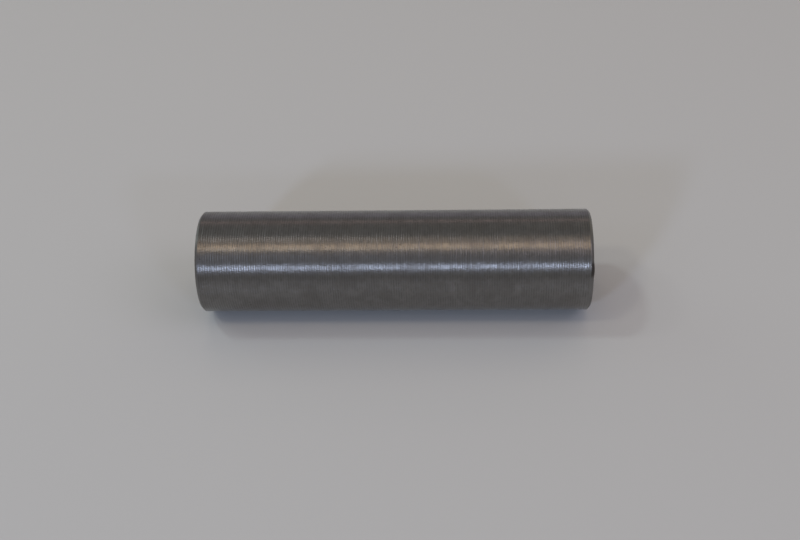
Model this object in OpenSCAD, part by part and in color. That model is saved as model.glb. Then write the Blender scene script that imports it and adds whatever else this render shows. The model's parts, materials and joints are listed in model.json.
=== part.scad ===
// Dowel sleeve: a plain steel tube turned from bar, with a bore right through it.
// It stands on one end, with its axis on Z and the centre of its lower end at the origin.

/* [Sleeve] */
// Length over the two end faces
sleeve_length = 36.5; // [5:0.5:80]
// Outside diameter
outer_diameter = 9.525; // [9:0.025:20]

/* [Bore] */
// Diameter of the hole that takes the dowel
bore_diameter = 6.35; // [3:0.05:7]

/* [Edges] */
// Leg of the 45 degree chamfer round the outside of each end
outer_chamfer = 0.25; // [0.1:0.05:0.4]
// Leg of the 45 degree chamfer round each mouth of the bore
bore_chamfer = 0.3; // [0.1:0.05:0.4]

/* [Hidden] */
outer_radius = outer_diameter / 2;
bore_radius = bore_diameter / 2;
// How far the bore's cutter runs past each end face
cutter_overrun = 1;
// Sides of a round surface in a preview
$fn = 180;

// Half of the blank's section: the outside wall, with a chamfered corner at each end
module blank_section() {
    polygon([
        [0, 0],
        [outer_radius - outer_chamfer, 0],
        [outer_radius, outer_chamfer],
        [outer_radius, sleeve_length - outer_chamfer],
        [outer_radius - outer_chamfer, sleeve_length],
        [0, sleeve_length]
    ]);
}

// Half of the cutter's section: the bore, opening at 45 degrees from each mouth outwards
module bore_section() {
    mouth_radius = bore_radius + bore_chamfer + cutter_overrun;
    polygon([
        [0, -cutter_overrun],
        [mouth_radius, -cutter_overrun],
        [bore_radius, bore_chamfer],
        [bore_radius, sleeve_length - bore_chamfer],
        [mouth_radius, sleeve_length + cutter_overrun],
        [0, sleeve_length + cutter_overrun]
    ]);
}

// The turned blank, bored through and chamfered
module sleeve() {
    color("dimgray")
    difference() {
        rotate_extrude() blank_section();
        rotate_extrude() bore_section();
    }
}

sleeve();
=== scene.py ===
"""Dowel sleeve: the turned finish of one steel sleeve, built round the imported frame.

Every length is in metres.

The sleeve stands on its end along Z. The stage is a pale floor that touches its side, so that the camera,
rolled on its side, sees the sleeve as it lies on a bench.
"""

import json
import math

import bpy
from mathutils import Matrix, Vector, noise


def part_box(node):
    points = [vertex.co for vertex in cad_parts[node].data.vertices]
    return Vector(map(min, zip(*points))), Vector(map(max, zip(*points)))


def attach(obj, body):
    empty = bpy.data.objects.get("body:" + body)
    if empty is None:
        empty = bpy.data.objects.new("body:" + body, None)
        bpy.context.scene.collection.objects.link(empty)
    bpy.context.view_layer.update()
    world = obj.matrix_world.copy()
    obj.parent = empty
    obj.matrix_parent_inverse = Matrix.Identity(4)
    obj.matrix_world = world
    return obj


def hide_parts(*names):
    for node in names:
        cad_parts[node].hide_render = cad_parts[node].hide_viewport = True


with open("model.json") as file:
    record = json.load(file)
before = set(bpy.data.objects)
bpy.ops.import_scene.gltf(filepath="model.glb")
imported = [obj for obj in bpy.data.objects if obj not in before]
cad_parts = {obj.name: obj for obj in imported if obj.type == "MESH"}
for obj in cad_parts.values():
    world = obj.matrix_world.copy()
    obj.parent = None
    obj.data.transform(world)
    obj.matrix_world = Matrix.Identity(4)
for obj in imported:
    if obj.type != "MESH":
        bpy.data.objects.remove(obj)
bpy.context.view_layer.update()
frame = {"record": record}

MM = 0.001
DEGREE = math.pi / 180
FULL_TURN = 2 * math.pi

# ---------------------------------------------------------------- sizes, read from the frame
mounts = {mount["name"]: mount for mount in frame["record"]["mounts"]}
floor_corner, top_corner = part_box("sleeve")
LENGTH = top_corner.z - floor_corner.z
OUTER_RADIUS = mounts["outside"]["dims"]["r_mm"] * MM
BORE_RADIUS = mounts["bore"]["dims"]["r_mm"] * MM
OUTER_CHAMFER = (LENGTH - mounts["outside"]["dims"]["length_mm"] * MM) / 2
BORE_CHAMFER = (LENGTH - mounts["bore"]["dims"]["length_mm"] * MM) / 2
MID_HEIGHT = LENGTH / 2

# ---------------------------------------------------------------- the turned surface
COLUMNS = 128  # steps round the sleeve
FEED = 0.2244 * MM  # how far the tool moves along in one turn
CUSP_HEIGHT = 0.024 * MM  # ridge left between one turn and the next
# Where the mesh samples one turn of the groove, from one ridge to just before the next
GROOVE_PHASES = (0.0, 0.13, 0.5, 0.87)
DEPTH_WANDER = 0.35  # share by which the ridges grow and shrink along the sleeve
DEPTH_WANDER_TURNS = 3.1  # turns from one swell of the ridges to the next
CHATTER_PER_TURN = 23.0  # steps of the tool's random chatter in one turn of the work
CHATTER_DEPTH = 0.008 * MM  # how far the chatter moves the surface

FACING_FEED = 0.13 * MM  # how far the facing tool moves across an end in one turn
FACING_CUSP = 0.003 * MM  # ridge left between one turn and the next
FACING_STEPS = 4  # mesh steps for each turn of the facing tool

EDGE_ROUND = 0.035 * MM  # how far each chamfer's edges are broken
EDGE_STEPS = 3  # mesh steps round each broken edge
BORE_STEPS = 24  # mesh steps along the bore

# The burr on the upper rim: where it stands, half its width round the rim, and how far it stands up
BURR_ANGLE = 12.5 * DEGREE
BURR_HALF_WIDTH = 10.0 * DEGREE
BURR_HEIGHT = 0.10 * MM
BURR_REACH = 0.2 * MM  # how far it reaches across the rim, each way
BURR_PLACE = (
    OUTER_RADIUS * math.cos(BURR_ANGLE),
    OUTER_RADIUS * math.sin(BURR_ANGLE),
    LENGTH,
)
BURR_DARK_REACH = 0.9 * MM  # how far the metal is painted dark round the burr

MAP_GAP = 0.2 * MM  # between the pieces of the flat map

# ---------------------------------------------------------------- finishes
OUTSIDE, END, BORE = range(3)  # the material of each face
STEEL = (0.235, 0.229, 0.224, 1)
STEEL_SHADE = (0.205, 0.20, 0.195, 1)
# Colour of the groove floors: dirt, and painted shade that darkens the floors against the ridges
GROOVE_DIRT_AND_SHADE = (0.125, 0.121, 0.118, 1)
FACED_SHADE = (0.16, 0.156, 0.152, 1)
BRIGHT_STEEL = (0.33, 0.325, 0.32, 1)
FILM = (0.16, 0.152, 0.145, 1)
PIT = (0.08, 0.07, 0.065, 1)
FILM_SHARE = 0.5  # how far the film hides the steel where it is thickest
BORE_FILM_SHARE = 0.7  # and in the bore, where nothing rubs it off
DIRT_AND_SHADE_SHARES = (0.182, 0.65)  # how far dirt and painted shade darken the groove floors, where they are thinnest and thickest
WORN_SHARE = 0.5  # how far the rims are rubbed bright
# The worst patch of pits, beside the sleeve's middle
PIT_PATCH = (4.67 * MM, -0.95 * MM, 12.3 * MM)
PIT_PATCH_REACH = 1.1 * MM
# Roughness where the steel is cleanest and where it is dullest
TURNED_ROUGHNESS = (0.28, 0.33)
FACED_ROUGHNESS = (0.36, 0.46)
BORE_ROUGHNESS = (0.42, 0.54)
# How far the shine is stretched across the tool's marks
TURNED_STRETCH = 0.7
FACED_STRETCH = 0.6
BORE_STRETCH = 0.5
STRETCH_TURN = 0.25  # from along the marks to across them, in turns
STREAK_DEPTH = 0.0035 * MM  # of the finest marks, which are a bump in the materials only
STREAK_STRENGTH = 0.6
# Heights of other fine marks, against that of the streaks
TORN_HEIGHT = 1.7
FACING_HEIGHT = 0.4

# ---------------------------------------------------------------- the camera and the stage
# The stage's own directions. The camera looks along -X, with the sleeve's +Z to the right of the picture.
TO_RIGHT = Vector((0, 0, 1))
TO_CAMERA = Vector((1, 0, 0))
TO_TOP = Vector((0, -1, 0))
CAMERA_RISE = 45 * DEGREE  # how far above the floor the camera looks from
CAMERA_DISTANCE = 23.57 * OUTER_RADIUS  # from the sleeve's axis
CAMERA_SHIFT = 1.087 * OUTER_RADIUS  # along the axis, from the middle of the sleeve
CAMERA_LENS = 53.23  # focal length in millimetres, on a 36 mm sensor
CAMERA_PAN = -2.411 * DEGREE
CAMERA_TILT = 0.471 * DEGREE
CAMERA_ROLL = 0.369 * DEGREE


def around(angle):
    """The direction square to the axis at this angle over the top, from the camera's own direction."""
    return TO_CAMERA * math.cos(angle) + TO_TOP * math.sin(angle)


FLOOR_NORMAL = around(math.pi / 2 - CAMERA_RISE)
FLOOR_SIZE = 1.2
FLOOR_COLOUR = (0.484, 0.489, 0.491, 1)
FLOOR_ROUGHNESS = 0.3
FLOOR_GLOSS = 0.3
FLOOR_IN_STEEL = 0.2  # share of the floor, as the steel reflects it, that glows plain and unshadowed: a painted reflection

# ---------------------------------------------------------------- lamps and surroundings
LAMP_DISTANCE = 0.45  # from the sleeve
SURROUNDINGS = (0.27, 0.265, 0.26, 1)
BACKDROP = (0.38, 0.38, 0.38, 1)
# The colours of light
PLAIN = (1.0, 1.0, 1.0)
SKY = (0.6, 0.72, 1.0)
PALE_SKY = (0.8, 0.85, 1.0)
AQUA = (0.8, 0.95, 0.95)
WARM = (1.0, 0.75, 0.5)
CREAM = (1.0, 0.9, 0.65)
ROSE = (1.0, 0.65, 0.6)
VIOLET = (0.8, 0.7, 1.0)
PALE_VIOLET = (0.95, 0.85, 1.0)
# Name, angle over the top, lean to the right, width and height, all in degrees, power in watts, colour
LAMPS = (
    ("window", -17.2, -29, 7, 6, 0.24, SKY),
    ("window_middle", -16, 4, 6, 5, 0.03, PALE_SKY),
    ("sky_right", -15.3, 29, 8, 4, 0.2, SKY),
    ("low_left", 9, -42, 20, 12, 0.07, SKY),
    ("warm_lamp", 31.5, 0, 24, 12, 0.13, WARM),
    ("warm_left", 29, -20, 16, 10, 0.035, WARM),
    ("warm_top", 45, 2, 30, 16, 0.04, WARM),
    ("front_spot", 27.5, -30, 6, 7, 0.045, PLAIN),
    ("top_spot", 54.5, -30, 5, 11, 0.05, PLAIN),
    ("left_wall", 100, -55, 30, 40, 0.2, AQUA),
    ("right_high", 30, 44, 30, 30, 0.25, PALE_VIOLET),
    ("upper_right", 100, 44, 30, 40, 0.09, CREAM),
    ("back_strip", 100.5, -12, 70, 4, 0.035, ROSE),
    ("back_wall", 128, 0, 60, 20, 0.04, VIOLET),
)
# The same, for lamps that light the floor and cast the sleeve's shadows, but don't show in the steel
SHADOW_LAMPS = (
    ("window_shadow", -18.5, -29, 5, 5, 0.25, SKY),
    ("front_shadow", 27.5, -30, 6, 7, 0.11, CREAM),
    ("top_shadow", 54.5, -30, 5, 5, 0.17, AQUA),
    ("side_shadow", 52, -43, 6, 6, 0.07, PLAIN),
    ("ceiling", 75, 8, 50, 30, 0.15, WARM),
)


# ---------------------------------------------------------------- mesh
def groove_depth(phase, turns):
    """Depth below the ridges, this far across one groove and after this many turns of the work."""
    arc = 1 - (2 * phase - 1) ** 2
    swell = 1 + DEPTH_WANDER * noise.noise(Vector((turns / DEPTH_WANDER_TURNS, 0.5, 0.5)))
    chatter = noise.noise(Vector((turns * CHATTER_PER_TURN, 1.5, 0.5)))
    return CUSP_HEIGHT * swell * arc + CHATTER_DEPTH * chatter


def ring(points, radius, height):
    """Adds one level circle of points, and returns their places in the list."""
    first = len(points)
    for column in range(COLUMNS):
        angle = FULL_TURN * column / COLUMNS
        points.append((radius * math.cos(angle), radius * math.sin(angle), height))
    return list(range(first, first + COLUMNS))


def band(lower, upper):
    """Faces between two circles, seen from the side where the second one is above the first."""
    return [
        (lower[c], lower[(c + 1) % COLUMNS], upper[(c + 1) % COLUMNS], upper[c])
        for c in range(COLUMNS)
    ]


def spiral_column(points, column, lowest, highest):
    """Adds one column of the spiral's points, between two heights, and returns them by their step."""
    share = column / COLUMNS
    steps = len(GROOVE_PHASES)
    found = {}
    for step in range(math.ceil(highest / FEED) * steps):
        phase = GROOVE_PHASES[step % steps]
        turns = step // steps - 1 + phase + share
        height = turns * FEED
        if lowest < height < highest:
            fade = min(1.0, (height - lowest) / FEED, (highest - height) / FEED)
            radius = OUTER_RADIUS - groove_depth(phase, turns) * fade
            angle = FULL_TURN * share
            found[step] = len(points)
            points.append((radius * math.cos(angle), radius * math.sin(angle), height))
    return found


def turned_wall(points, lower_ring, upper_ring):
    """Faces of the outside between two circles, as one spiral of shallow grooves."""
    lowest, highest = points[lower_ring[0]][2], points[upper_ring[0]][2]
    columns = [spiral_column(points, column, lowest, highest) for column in range(COLUMNS)]
    # After a whole turn the spiral comes back one groove further up
    one_turn = len(GROOVE_PHASES)
    columns.append({step - one_turn: point for step, point in columns[0].items()})
    faces = []
    for column in range(COLUMNS):
        here, there = columns[column], columns[column + 1]
        after = (column + 1) % COLUMNS
        shared = sorted(here.keys() & there.keys())
        first, last = shared[0], shared[-1]
        faces += [(here[s], there[s], there[s + 1], here[s + 1]) for s in shared[:-1]]
        up = [there[s] for s in sorted(there) if s <= first]
        down = [here[s] for s in sorted(here, reverse=True) if s <= first]
        faces.append((lower_ring[column], lower_ring[after], *up, *down))
        up = [there[s] for s in sorted(there) if s >= last]
        down = [here[s] for s in sorted(here, reverse=True) if s >= last]
        faces.append((*up, upper_ring[after], upper_ring[column], *down))
    return faces


def eased(start, corner, end):
    """Points of a rounded corner, from start to end."""
    found = []
    for step in range(EDGE_STEPS + 1):
        t = step / EDGE_STEPS
        weights = ((1 - t) ** 2, 2 * t * (1 - t), t * t)
        found.append(
            tuple(sum(w * p[i] for w, p in zip(weights, (start, corner, end))) for i in range(2))
        )
    return found


def end_section():
    """Section of one end, from the outside wall to the bore, as radius and depth below the end face."""
    slant = EDGE_ROUND / math.sqrt(2)
    rim, mouth = OUTER_RADIUS - OUTER_CHAMFER, BORE_RADIUS + BORE_CHAMFER
    outline = eased(
        (OUTER_RADIUS, OUTER_CHAMFER + EDGE_ROUND),
        (OUTER_RADIUS, OUTER_CHAMFER),
        (OUTER_RADIUS - slant, OUTER_CHAMFER - slant),
    )
    outline += eased((rim + slant, slant), (rim, 0), (rim - EDGE_ROUND, 0))
    face_width = rim - mouth - 2 * EDGE_ROUND
    steps = round(face_width / FACING_FEED * FACING_STEPS)
    for step in range(1, steps):
        phase = step / FACING_STEPS % 1.0
        depth = FACING_CUSP * (1 - (2 * phase - 1) ** 2)
        outline.append((rim - EDGE_ROUND - face_width * step / steps, depth))
    outline += eased((mouth + EDGE_ROUND, 0), (mouth, 0), (mouth - slant, slant))
    outline += eased(
        (BORE_RADIUS + slant, BORE_CHAMFER - slant),
        (BORE_RADIUS, BORE_CHAMFER),
        (BORE_RADIUS, BORE_CHAMFER + EDGE_ROUND),
    )
    return outline


def raise_burr(points):
    """Lifts the lip of metal that parting off left on part of the upper rim."""
    rim = OUTER_RADIUS - OUTER_CHAMFER / 2
    for index, (x, y, z) in enumerate(points):
        turn = (math.atan2(y, x) - BURR_ANGLE) / BURR_HALF_WIDTH
        across = (math.hypot(x, y) - rim) / BURR_REACH
        inward = (LENGTH - z) / (OUTER_CHAMFER + BURR_REACH)
        if max(abs(turn), abs(across), inward) < 1:
            lift = math.cos(turn * math.pi / 2) * (1 - across**2) * (1 - inward)
            points[index] = (x, y, z + BURR_HEIGHT * lift)


def flat_place(point, finish, middle):
    """Where a point goes on the flat map, in metres. middle is the angle of its face's middle."""
    x, y, z = point
    if finish == END:
        across = LENGTH + MAP_GAP + OUTER_RADIUS
        up = OUTER_RADIUS + (2 * OUTER_RADIUS + MAP_GAP if z > MID_HEIGHT else 0)
        return across + x, up + y
    turn = (math.atan2(y, x) - middle + math.pi) % FULL_TURN - math.pi + middle
    if finish == OUTSIDE:
        return z, turn * OUTER_RADIUS
    return z, (FULL_TURN * OUTER_RADIUS + MAP_GAP) + turn * BORE_RADIUS


def lay_out_map(mesh):
    """Lays the skin out flat with no overlaps: the outside, the bore above it and the ends beside them."""
    size = FULL_TURN * (OUTER_RADIUS + BORE_RADIUS) + 3 * MAP_GAP
    layer = mesh.uv_layers.new(name="OFBake")
    for face in mesh.polygons:
        middle = math.atan2(face.center.y, face.center.x) % FULL_TURN
        for corner in face.loop_indices:
            point = mesh.vertices[mesh.loops[corner].vertex_index].co
            across, up = flat_place(point, face.material_index, middle)
            layer.data[corner].uv = ((across + MAP_GAP) / size, (up + MAP_GAP) / size)


def build_sleeve():
    """The whole sleeve as one closed mesh, with a material for each of its finishes."""
    points = []
    outline = end_section()
    lower_rings = [ring(points, radius, depth) for radius, depth in outline]
    upper_rings = [ring(points, radius, LENGTH - depth) for radius, depth in outline]
    bore_low, bore_high = points[lower_rings[-1][0]][2], points[upper_rings[-1][0]][2]
    bore_rings = [
        ring(points, BORE_RADIUS, bore_low + (bore_high - bore_low) * step / BORE_STEPS)
        for step in range(1, BORE_STEPS)
    ]
    finishes = [[], [], []]
    finishes[OUTSIDE] += turned_wall(points, lower_rings[0], upper_rings[0])
    for outer, inner in zip(upper_rings, upper_rings[1:]):
        finishes[END] += band(outer, inner)
    for outer, inner in zip(lower_rings, lower_rings[1:]):
        finishes[END] += band(inner, outer)
    wall = [upper_rings[-1], *reversed(bore_rings), lower_rings[-1]]
    for above, below in zip(wall, wall[1:]):
        finishes[BORE] += band(above, below)
    raise_burr(points)
    mesh = bpy.data.meshes.new("sleeve_turned")
    mesh.from_pydata(points, [], [face for faces in finishes for face in faces])
    for finish, faces in enumerate(finishes):
        start = sum(len(earlier) for earlier in finishes[:finish])
        for index in range(start, start + len(faces)):
            mesh.polygons[index].material_index = finish
    mesh.shade_smooth()
    lay_out_map(mesh)
    sleeve = bpy.data.objects.new("sleeve_turned", mesh)
    bpy.context.scene.collection.objects.link(sleeve)
    return sleeve


# ---------------------------------------------------------------- node helpers
def add_node(tree, kind, inputs=None, **settings):
    """Adds a node. Each input is a plain value, or a socket to link from."""
    made = tree.nodes.new(kind)
    for name, value in settings.items():
        setattr(made, name, value)
    for name, value in (inputs or {}).items():
        if isinstance(value, bpy.types.NodeSocket):
            tree.links.new(value, made.inputs[name])
        else:
            made.inputs[name].default_value = value
    return made


def calculate(tree, operation, first, second=0.0):
    """One sum, as the socket that gives its result."""
    return add_node(tree, "ShaderNodeMath", {0: first, 1: second}, operation=operation).outputs[0]


def ramp(tree, value, start, end, low=0.0, high=1.0):
    """A smooth step from low to high, as value goes from start to end."""
    made = add_node(
        tree,
        "ShaderNodeMapRange",
        {"Value": value, "From Min": start, "From Max": end, "To Min": low, "To Max": high},
        interpolation_type="SMOOTHSTEP",
    )
    return made.outputs["Result"]


def mix_colour(tree, share, first, second):
    made = add_node(tree, "ShaderNodeMix", data_type="RGBA")
    for name, value in (("Factor", share), ("A", first), ("B", second)):
        socket = next(s for s in made.inputs if s.enabled and s.name == name)
        if isinstance(value, bpy.types.NodeSocket):
            tree.links.new(value, socket)
        else:
            socket.default_value = value
    return next(s for s in made.outputs if s.enabled)


def new_group(name, inputs, outputs):
    """An empty node group with these sockets. Returns its tree, its input sockets and its output node."""
    tree = bpy.data.node_groups.new(name, "ShaderNodeTree")
    for label, value in inputs.items():
        socket = tree.interface.new_socket(label, in_out="INPUT", socket_type="NodeSocketFloat")
        socket.default_value = value
    for label in outputs:
        tree.interface.new_socket(label, in_out="OUTPUT", socket_type="NodeSocketFloat")
    given = tree.nodes.new("NodeGroupInput").outputs
    return tree, given, tree.nodes.new("NodeGroupOutput").inputs


def place_group(tree, group, **values):
    """Places a group in a material, with its own values, and returns its outputs."""
    made = add_node(tree, "ShaderNodeGroup", node_tree=group)
    for label, value in values.items():
        made.inputs[label.replace("_", " ")].default_value = value
    return made.outputs


def place_on_piece(tree):
    return add_node(tree, "ShaderNodeTexCoord").outputs["Object"]


def distance_from(tree, point):
    """How far the place on the piece is from one point."""
    inputs = {0: place_on_piece(tree), 1: point}
    return add_node(tree, "ShaderNodeVectorMath", inputs, operation="DISTANCE").outputs["Value"]


def raised(tree, height):
    """The direction that a surface with these fine marks faces."""
    inputs = {"Height": height, "Strength": STREAK_STRENGTH, "Distance": STREAK_DEPTH}
    return add_node(tree, "ShaderNodeBump", inputs).outputs["Normal"]


# ---------------------------------------------------------------- shared surface effects
def stretched_position(tree, across, along):
    """The place on the piece, multiplied by across in X and Y and by along in Z."""
    place = place_on_piece(tree)
    scale = add_node(tree, "ShaderNodeCombineXYZ", {"X": across, "Y": across, "Z": along})
    made = add_node(
        tree,
        "ShaderNodeVectorMath",
        {0: place, 1: scale.outputs["Vector"]},
        operation="MULTIPLY",
    )
    return made.outputs["Vector"]


def make_streaks():
    """Fine tool marks that run round the piece: noise drawn out round the axis."""
    tree, given, out = new_group(
        "tool_streaks", {"Across": 300.0, "Along": 9000.0, "Low": 0.3, "High": 0.7}, ["Mask"]
    )
    place = stretched_position(tree, given["Across"], given["Along"])
    grain = add_node(
        tree, "ShaderNodeTexNoise", {"Vector": place, "Scale": 1.0, "Detail": 2.0, "Roughness": 0.5}
    )
    tree.links.new(ramp(tree, grain.outputs["Fac"], given["Low"], given["High"]), out["Mask"])
    return tree


def make_grooves():
    """The spiral of the turned grooves: 0 on the ridges and 1 on the floor of each groove."""
    tree, given, out = new_group("groove_spiral", {"Feed": FEED}, ["Mask"])
    place = place_on_piece(tree)
    parts = add_node(tree, "ShaderNodeSeparateXYZ", {"Vector": place}).outputs
    angle = calculate(tree, "ARCTAN2", parts["Y"], parts["X"])
    turns = calculate(tree, "DIVIDE", parts["Z"], given["Feed"])
    spiral = calculate(tree, "SUBTRACT", turns, calculate(tree, "DIVIDE", angle, FULL_TURN))
    tree.links.new(ramp(tree, calculate(tree, "PINGPONG", spiral, 0.5), 0.0, 0.5), out["Mask"])
    return tree


def make_film():
    """Soft patches where oil and handling have dulled the metal."""
    tree, given, out = new_group("handling_film", {"Scale": 350.0, "Low": 0.4, "High": 0.65}, ["Mask"])
    place = stretched_position(tree, 1.0, 1.0)
    cloud = add_node(
        tree,
        "ShaderNodeTexNoise",
        {"Vector": place, "Scale": given["Scale"], "Detail": 4.0, "Roughness": 0.55, "Distortion": 0.4},
    )
    tree.links.new(ramp(tree, cloud.outputs["Fac"], given["Low"], given["High"]), out["Mask"])
    return tree


def make_pits():
    """Small dark pits and specks, gathered where a slow noise is high."""
    tree, given, out = new_group(
        "pits", {"Scale": 2600.0, "Size": 0.25, "Cluster Scale": 240.0, "Cluster Start": 0.58}, ["Mask"]
    )
    place = stretched_position(tree, 1.0, 1.0)
    cells = add_node(tree, "ShaderNodeTexVoronoi", {"Vector": place, "Scale": given["Scale"]})
    cluster = add_node(
        tree, "ShaderNodeTexNoise", {"Vector": place, "Scale": given["Cluster Scale"], "Detail": 2.0}
    )
    dots = ramp(tree, cells.outputs["Distance"], given["Size"], 0.0)
    start = given["Cluster Start"]
    gathered = ramp(tree, cluster.outputs["Fac"], start, calculate(tree, "ADD", start, 0.08))
    tree.links.new(calculate(tree, "MULTIPLY", dots, gathered), out["Mask"])
    return tree


def make_facing_rings():
    """Fine rings round the axis, as the facing tool leaves them, a little uneven round each turn."""
    tree, given, out = new_group("facing_rings", {"Scale": 9000.0, "Low": 0.35, "High": 0.65}, ["Mask"])
    place = place_on_piece(tree)
    parts = add_node(tree, "ShaderNodeSeparateXYZ", {"Vector": place}).outputs
    flat = add_node(tree, "ShaderNodeCombineXYZ", {"X": parts["X"], "Y": parts["Y"]}).outputs["Vector"]
    radius = add_node(tree, "ShaderNodeVectorMath", {0: flat}, operation="LENGTH").outputs["Value"]
    slow = calculate(tree, "DIVIDE", given["Scale"], 30.0)
    rings = add_node(
        tree,
        "ShaderNodeCombineXYZ",
        {
            "X": calculate(tree, "MULTIPLY", parts["X"], slow),
            "Y": calculate(tree, "MULTIPLY", parts["Y"], slow),
            "Z": calculate(tree, "MULTIPLY", radius, given["Scale"]),
        },
    )
    grain = add_node(
        tree,
        "ShaderNodeTexNoise",
        {"Vector": rings.outputs["Vector"], "Scale": 1.0, "Detail": 2.0, "Roughness": 0.6},
    )
    tree.links.new(ramp(tree, grain.outputs["Fac"], given["Low"], given["High"]), out["Mask"])
    return tree


def make_edge_wear():
    """A mask that is 1 on the piece's rims, where handling has rubbed them, and fades away from them."""
    tree, given, out = new_group("edge_wear", {"Width": 0.3 * MM, "Breakup": 0.5}, ["Mask"])
    place = place_on_piece(tree)
    parts = add_node(tree, "ShaderNodeSeparateXYZ", {"Vector": place}).outputs
    from_middle = calculate(tree, "ABSOLUTE", calculate(tree, "SUBTRACT", parts["Z"], MID_HEIGHT))
    from_end = calculate(tree, "SUBTRACT", MID_HEIGHT, from_middle)
    grain = add_node(
        tree, "ShaderNodeTexNoise", {"Vector": place, "Scale": 2200.0, "Detail": 3.0}
    ).outputs["Fac"]
    broken = calculate(tree, "MULTIPLY", grain, given["Breakup"])
    reach = calculate(tree, "MULTIPLY", given["Width"], calculate(tree, "ADD", broken, 0.75))
    tree.links.new(ramp(tree, from_end, reach, 0.0), out["Mask"])
    return tree


streaks = make_streaks()
grooves = make_grooves()
film = make_film()
pits = make_pits()
facing_rings = make_facing_rings()
edge_wear = make_edge_wear()


# ---------------------------------------------------------------- finishes
def new_material(name):
    material = bpy.data.materials.new(name)
    material.use_nodes = True
    tree = material.node_tree
    tree.nodes.clear()
    return material, tree


def finish_surface(tree, colour, roughness, normal, stretch):
    """The steel's own shader, whose shine is stretched across the tool's marks."""
    tangent = add_node(tree, "ShaderNodeTangent", direction_type="RADIAL", axis="Z")
    shader = add_node(
        tree,
        "ShaderNodeBsdfPrincipled",
        {
            "Base Color": colour,
            "Metallic": 1.0,
            "Roughness": roughness,
            "Normal": normal,
            "Anisotropic": stretch,
            "Anisotropic Rotation": STRETCH_TURN,
            "Tangent": tangent.outputs["Tangent"],
        },
    )
    output = tree.nodes.new("ShaderNodeOutputMaterial")
    tree.links.new(shader.outputs["BSDF"], output.inputs["Surface"])


def turned_outside():
    """As turned: a torn grain, dirt and painted shade in the groove floors, a thin film of oil, specks,
    pits and rubbed rims.
    """
    material, tree = new_material("turned_outside")
    marks = place_group(tree, streaks, Across=900.0, Along=4500.0, Low=0.2, High=0.8)["Mask"]
    torn = place_group(tree, streaks, Across=3000.0, Along=4500.0, Low=0.25, High=0.75)["Mask"]
    deep = place_group(tree, grooves, Feed=FEED)["Mask"]
    packed = place_group(tree, film, Scale=1500.0, Low=0.36, High=0.64)["Mask"]
    dulled = place_group(tree, film, Scale=600.0, Low=0.4, High=0.68)["Mask"]
    specks = place_group(
        tree, pits, Scale=2600.0, Size=0.3, Cluster_Scale=300.0, Cluster_Start=0.62
    )["Mask"]
    worst = place_group(
        tree, pits, Scale=3600.0, Size=0.42, Cluster_Scale=900.0, Cluster_Start=0.42
    )["Mask"]
    bad_patch = ramp(tree, distance_from(tree, PIT_PATCH), PIT_PATCH_REACH, 0.3 * PIT_PATCH_REACH)
    specks = calculate(tree, "MAXIMUM", specks, calculate(tree, "MULTIPLY", worst, bad_patch))
    worn = place_group(tree, edge_wear, Width=0.35 * MM, Breakup=0.6)["Mask"]
    # Dirt and painted shade in the groove floors, patchy along the sleeve
    dirt_and_shade = calculate(tree, "MULTIPLY", deep, ramp(tree, packed, 0.0, 1.0, *DIRT_AND_SHADE_SHARES))
    steel = mix_colour(tree, marks, STEEL_SHADE, STEEL)
    steel = mix_colour(tree, dirt_and_shade, steel, GROOVE_DIRT_AND_SHADE)
    steel = mix_colour(tree, calculate(tree, "MULTIPLY", dulled, FILM_SHARE), steel, FILM)
    steel = mix_colour(tree, specks, steel, PIT)
    steel = mix_colour(tree, calculate(tree, "MULTIPLY", worn, WORN_SHARE), steel, BRIGHT_STEEL)
    roughness = ramp(tree, dulled, 0.0, 1.0, *TURNED_ROUGHNESS)
    height = calculate(tree, "SUBTRACT", marks, specks)
    height = calculate(tree, "ADD", height, calculate(tree, "MULTIPLY", torn, TORN_HEIGHT))
    finish_surface(tree, steel, roughness, raised(tree, height), TURNED_STRETCH)
    return material


def faced_end():
    """The faced ends and their chamfers: rings from the tool, and metal painted dark round the burr."""
    material, tree = new_material("faced_end")
    marks = place_group(tree, facing_rings, Scale=9000.0, Low=0.3, High=0.7)["Mask"]
    dulled = place_group(tree, film, Scale=700.0, Low=0.4, High=0.7)["Mask"]
    specks = place_group(
        tree, pits, Scale=3000.0, Size=0.28, Cluster_Scale=500.0, Cluster_Start=0.6
    )["Mask"]
    # The metal is painted dark round the burr
    torn = ramp(tree, distance_from(tree, BURR_PLACE), BURR_DARK_REACH, 0.5 * BURR_DARK_REACH)
    steel = mix_colour(tree, marks, FACED_SHADE, STEEL)
    steel = mix_colour(tree, calculate(tree, "MULTIPLY", dulled, FILM_SHARE), steel, FILM)
    steel = mix_colour(tree, calculate(tree, "MAXIMUM", specks, torn), steel, PIT)
    roughness = ramp(tree, dulled, 0.0, 1.0, *FACED_ROUGHNESS)
    height = calculate(tree, "SUBTRACT", calculate(tree, "MULTIPLY", marks, FACING_HEIGHT), specks)
    finish_surface(tree, steel, roughness, raised(tree, height), FACED_STRETCH)
    return material


def drilled_bore():
    """The bore: rougher marks from the drill, and darker, because the film isn't rubbed off there."""
    material, tree = new_material("drilled_bore")
    marks = place_group(tree, streaks, Across=500.0, Along=5000.0, Low=0.3, High=0.7)["Mask"]
    dulled = place_group(tree, film, Scale=500.0, Low=0.3, High=0.6)["Mask"]
    steel = mix_colour(tree, marks, STEEL_SHADE, STEEL)
    steel = mix_colour(tree, calculate(tree, "MULTIPLY", dulled, BORE_FILM_SHARE), steel, FILM)
    roughness = ramp(tree, marks, 0.0, 1.0, *BORE_ROUGHNESS)
    finish_surface(tree, steel, roughness, raised(tree, marks), BORE_STRETCH)
    return material


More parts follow.
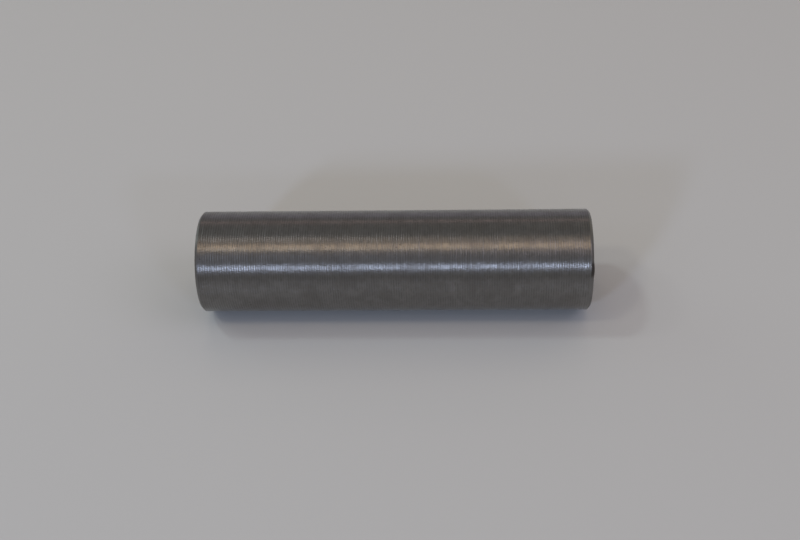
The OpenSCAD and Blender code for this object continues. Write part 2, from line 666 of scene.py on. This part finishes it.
def floor_paint():
    """Plain pale floor, which can't be seen from behind, so that it hides the sleeve from no side."""
    material, tree = new_material("floor_paint")
    shader = add_node(
        tree,
        "ShaderNodeBsdfPrincipled",
        {"Base Color": FLOOR_COLOUR, "Roughness": FLOOR_ROUGHNESS, "Specular IOR Level": FLOOR_GLOSS},
    )
    # In the steel's reflections the floor partly glows a plain grey, without the sleeve's shadow: a
    # painted reflection
    reflected = tree.nodes.new("ShaderNodeLightPath").outputs["Is Glossy Ray"]
    share = calculate(tree, "MULTIPLY", reflected, FLOOR_IN_STEEL)
    plain = add_node(tree, "ShaderNodeEmission", {"Color": BACKDROP}).outputs["Emission"]
    material.cycles.emission_sampling = "NONE"
    front = add_node(tree, "ShaderNodeMixShader", {0: share, 1: shader.outputs["BSDF"], 2: plain})
    clear = tree.nodes.new("ShaderNodeBsdfTransparent")
    behind = tree.nodes.new("ShaderNodeNewGeometry").outputs["Backfacing"]
    mixed = add_node(
        tree, "ShaderNodeMixShader", {0: behind, 1: front.outputs["Shader"], 2: clear.outputs["BSDF"]}
    )
    output = tree.nodes.new("ShaderNodeOutputMaterial")
    tree.links.new(mixed.outputs["Shader"], output.inputs["Surface"])
    return material


# ---------------------------------------------------------------- stage
def square_to(normal, right):
    """A rotation whose Z is normal and whose X is right."""
    return Matrix((right, normal.cross(right), normal)).transposed()


def make_floor():
    """A pale square that touches the side of the sleeve."""
    half = FLOOR_SIZE / 2
    mesh = bpy.data.meshes.new("floor")
    mesh.from_pydata(
        [(-half, -half, 0), (half, -half, 0), (half, half, 0), (-half, half, 0)], [], [(0, 1, 2, 3)]
    )
    mesh.materials.append(floor_paint())
    floor = bpy.data.objects.new("floor", mesh)
    centre = Vector((0, 0, MID_HEIGHT)) - FLOOR_NORMAL * OUTER_RADIUS
    floor.matrix_world = Matrix.Translation(centre) @ square_to(FLOOR_NORMAL, TO_RIGHT).to_4x4()
    bpy.context.scene.collection.objects.link(floor)


def make_camera():
    data = bpy.data.cameras.new("camera")
    data.lens = CAMERA_LENS
    data.clip_start = 0.001
    camera = bpy.data.objects.new("camera", data)
    stage_axes = Matrix((TO_RIGHT, TO_TOP, TO_CAMERA)).transposed()
    turn = (
        Matrix.Rotation(-CAMERA_PAN, 3, "Y")
        @ Matrix.Rotation(-CAMERA_TILT, 3, "X")
        @ Matrix.Rotation(-CAMERA_ROLL, 3, "Z")
    )
    place = Vector((0, 0, MID_HEIGHT)) + TO_CAMERA * CAMERA_DISTANCE + TO_RIGHT * CAMERA_SHIFT
    camera.matrix_world = Matrix.Translation(place) @ (stage_axes @ turn).to_4x4()
    bpy.context.scene.collection.objects.link(camera)
    bpy.context.scene.camera = camera


def make_lamp(name, over, along, wide, tall, power, colour):
    """A soft lamp that faces the sleeve. over is its angle over the top and along its lean to the right,
    and wide and tall are how many degrees it spans, along the axis and across it."""
    data = bpy.data.lights.new(name, "AREA")
    data.shape = "RECTANGLE"
    data.size = 2 * LAMP_DISTANCE * math.tan(wide * DEGREE / 2)
    data.size_y = 2 * LAMP_DISTANCE * math.tan(tall * DEGREE / 2)
    data.energy = power
    data.color = colour
    lamp = bpy.data.objects.new(name, data)
    back = around(over * DEGREE) * math.cos(along * DEGREE) + TO_RIGHT * math.sin(along * DEGREE)
    right = (TO_RIGHT - back * back.dot(TO_RIGHT)).normalized()
    place = Vector((0, 0, MID_HEIGHT)) + back * LAMP_DISTANCE
    lamp.matrix_world = Matrix.Translation(place) @ square_to(back, right).to_4x4()
    bpy.context.scene.collection.objects.link(lamp)
    return lamp


def make_world():
    """Dim surroundings that light the sleeve, and the floor's grey wherever the camera looks past it."""
    world = bpy.data.worlds.new("surroundings")
    world.use_nodes = True
    tree = world.node_tree
    tree.nodes.clear()
    seen = tree.nodes.new("ShaderNodeLightPath").outputs["Is Camera Ray"]
    colour = mix_colour(tree, seen, SURROUNDINGS, BACKDROP)
    shader = add_node(tree, "ShaderNodeBackground", {"Color": colour, "Strength": 1.0})
    output = tree.nodes.new("ShaderNodeOutputWorld")
    tree.links.new(shader.outputs["Background"], output.inputs["Surface"])
    bpy.context.scene.world = world


bpy.context.scene.view_settings.view_transform = "Standard"
sleeve = build_sleeve()
for finish in (turned_outside(), faced_end(), drilled_bore()):
    sleeve.data.materials.append(finish)
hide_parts("sleeve")
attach(sleeve, "root")
make_floor()
make_camera()
make_world()
for values in LAMPS:
    make_lamp(*values)
for values in SHADOW_LAMPS:
    make_lamp(*values).visible_glossy = False
